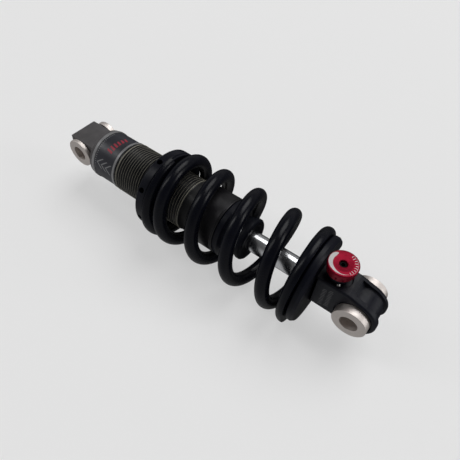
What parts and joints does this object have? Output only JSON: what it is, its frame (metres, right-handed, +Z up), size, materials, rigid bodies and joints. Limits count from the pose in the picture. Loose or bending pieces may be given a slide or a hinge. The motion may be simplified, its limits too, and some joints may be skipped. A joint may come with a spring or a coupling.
{
  "type": "rear shock",
  "caption": "Coil-over bicycle rear shock with a threaded preload collar, a rebound knob and an eyelet at each end.",
  "frame": {"origin": "centre of the upper eye's bore, half way along its width", "axes": "+X along the damper from the upper eye to the lower eye, +Y along both eye bores, +Z up along the rebound knob's axis"},
  "size_m": [0.1832, 0.0481, 0.0476],
  "materials": {
    "black_anodised": "satin black anodised",
    "dark_anodised": "satin dark grey anodised",
    "painted_steel": "gloss black coated",
    "steel": "turned",
    "chrome": "polished",
    "brass": "turned",
    "red_anodised": "red anodised",
    "rubber": "matt",
    "polymer": "matt",
    "print": "satin printed band",
    "bare_alloy": "machined"
  },
  "bodies": {
    "damper": {"upper_eyelet": "dark_anodised", "charge_plug": "steel", "cap_oring": "rubber", "damper_tube": "black_anodised", "label_band": "print", "seal_head": "black_anodised", "seal_head_oring": "rubber", "shaft_bushing": "brass", "shaft_seal": "rubber", "wiper_seal": "rubber", "bottom_out_bumper": "rubber", "upper_eye_bush": "bare_alloy", "coil_spring": "painted_steel"},
    "floating_piston": {"floating_piston": "bare_alloy", "floating_piston_oring": "rubber"},
    "preload_washer": {"preload_washer": "polymer"},
    "preload_collar": {"preload_collar": "black_anodised"},
    "shaft": {"shaft": "chrome", "piston": "bare_alloy", "piston_band": "polymer", "compression_shims": "steel", "rebound_shims": "steel", "piston_nut": "steel", "top_out_bumper": "rubber", "lower_spring_seat": "black_anodised", "lower_eyelet": "black_anodised", "lower_eye_bush": "bare_alloy", "detent_ball": "steel", "detent_spring": "steel"},
    "rebound_knob": {"rebound_knob": "red_anodised", "knob_screw": "painted_steel", "click_plate": "painted_steel", "rebound_spindle": "brass"},
    "metering_rod": {"metering_rod": "steel"},
    "upper_hardware": {"upper_reducer_near": "steel", "upper_reducer_far": "steel"},
    "lower_hardware": {"lower_reducer_near": "steel", "lower_reducer_far": "steel"}
  },
  "joints": [
    {"name": "shaft_slide", "type": "slide", "parent": "damper", "child": "shaft", "axis": [-1, 0, 0], "range_m": [0, 0.0325], "stiffness_N_per_m": 68000, "springref_m": -0.0015, "deforming": ["coil_spring"]},
    {"name": "floating_piston_slide", "type": "slide", "parent": "damper", "child": "floating_piston", "axis": [-1, 0, 0], "range_m": [0, 0.0068]},
    {"name": "preload_travel", "type": "slide", "parent": "damper", "child": "preload_washer", "axis": [1, 0, 0], "range_m": [-0.0212, 0]},
    {"name": "collar_turn", "type": "hinge", "parent": "preload_washer", "child": "preload_collar", "pos_m": [0.0553, 0, 0], "axis": [1, 0, 0], "range_deg": [-5040, 0]},
    {"name": "rebound_knob_turn", "type": "hinge", "parent": "shaft", "child": "rebound_knob", "pos_m": [0.1518, 0, 0.0176], "axis": [0, 0, 1], "range_deg": [0, 300]},
    {"name": "metering_rod_slide", "type": "slide", "parent": "shaft", "child": "metering_rod", "axis": [-1, 0, 0], "range_m": [0, 0.00105]},
    {"name": "upper_eye_pivot", "type": "hinge", "parent": "damper", "child": "upper_hardware", "pos_m": [0, 0, 0], "axis": [0, 1, 0], "continuous": true},
    {"name": "lower_eye_pivot", "type": "hinge", "parent": "shaft", "child": "lower_hardware", "pos_m": [0.165, 0, 0], "axis": [0, 1, 0], "continuous": true}
  ],
  "couplings": [
    {"joint": "floating_piston_slide", "follows": "shaft_slide", "ratio": 0.20661},
    {"joint": "preload_travel", "follows": "collar_turn", "m_per_rad": 0.00023873},
    {"joint": "metering_rod_slide", "follows": "rebound_knob_turn", "m_per_rad": 0.00019099}
  ]
}
